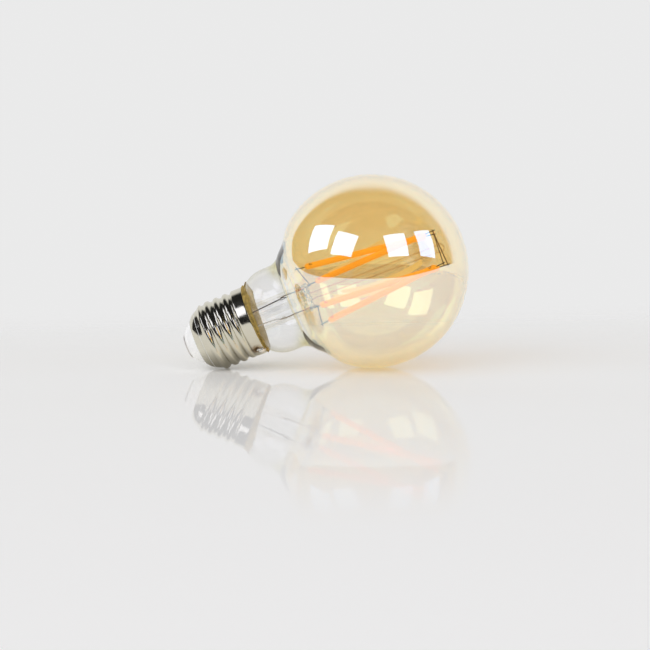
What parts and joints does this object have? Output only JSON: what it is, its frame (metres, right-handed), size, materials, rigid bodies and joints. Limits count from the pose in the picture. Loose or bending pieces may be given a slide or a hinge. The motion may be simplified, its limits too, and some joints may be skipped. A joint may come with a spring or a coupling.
{
  "type": "led filament globe lamp",
  "caption": "Globe lamp with amber glass on a clear neck, LED filaments on a glass stem, a screw cap with white insulator, and a wireless driver hidden in the cap.",
  "frame": {"origin": "tip of the centre contact, on the lamp's axis", "axes": "+Z along the lamp's axis from the cap to the globe; the two lead wires in the press lie along Y"},
  "size_m": [0.072, 0.072, 0.1109],
  "materials": {
    "amber_glass": "amber coating on the globe, clear neck, polished",
    "clear_glass": "clear, fire-polished",
    "nickel_plate": "bright nickel plate on rolled brass sheet",
    "white_insulator": "white, glossy",
    "contact_plate": "plated, satin",
    "cement": "baked ochre cement, matte and ragged",
    "lead_wire": "drawn nickel wire",
    "seal_wire": "copper-clad wire, dull red in the glass",
    "tinned_wire": "tinned, slightly rough",
    "terminal_metal": "stamped strip",
    "filament_coating": "orange phosphor silicone, satin",
    "solder": "bright solder",
    "sleeve_film": "thin film",
    "green_board": "solder mask",
    "blue_board": "solder mask",
    "resistor_body": "lacquer",
    "black_epoxy": "moulded",
    "capacitor_sleeve": "shrink sleeve",
    "ferrite": "sintered",
    "film_case": "dipped",
    "shield_metal": "tin plate",
    "antenna_track": "gold-plated copper"
  },
  "bodies": {
    "root": {"glass_envelope": "amber_glass", "stem_flare": "clear_glass", "exhaust_tube": "clear_glass", "support_rod": "clear_glass", "outer_lead_1": "lead_wire", "outer_lead_2": "lead_wire", "press_seal_wire_1": "seal_wire", "press_seal_wire_2": "seal_wire", "inner_lead_1": "lead_wire", "inner_lead_2": "lead_wire", "top_support_wire_1": "lead_wire", "top_support_wire_2": "lead_wire", "led_filament_1": "filament_coating", "led_filament_2": "filament_coating", "led_filament_3": "filament_coating", "led_filament_4": "filament_coating", "filament_terminals_1": "terminal_metal", "filament_terminals_2": "terminal_metal", "filament_terminals_3": "terminal_metal", "filament_terminals_4": "terminal_metal", "driver_wire_1": "tinned_wire", "driver_wire_2": "tinned_wire", "cap_shell": "nickel_plate", "cap_insulator": "white_insulator", "centre_contact": "contact_plate", "basing_cement": "cement", "shell_wire": "tinned_wire", "rim_solder": "solder", "insulating_sleeve": "sleeve_film", "driver_board": "green_board", "fusible_resistor": "resistor_body", "bridge_rectifier": "black_epoxy", "bulk_capacitor": "capacitor_sleeve", "inductor": "ferrite", "driver_chip": "black_epoxy", "film_capacitor": "film_case", "wireless_board": "blue_board", "shield_can": "shield_metal", "antenna": "antenna_track"}
  },
  "joints": []
}
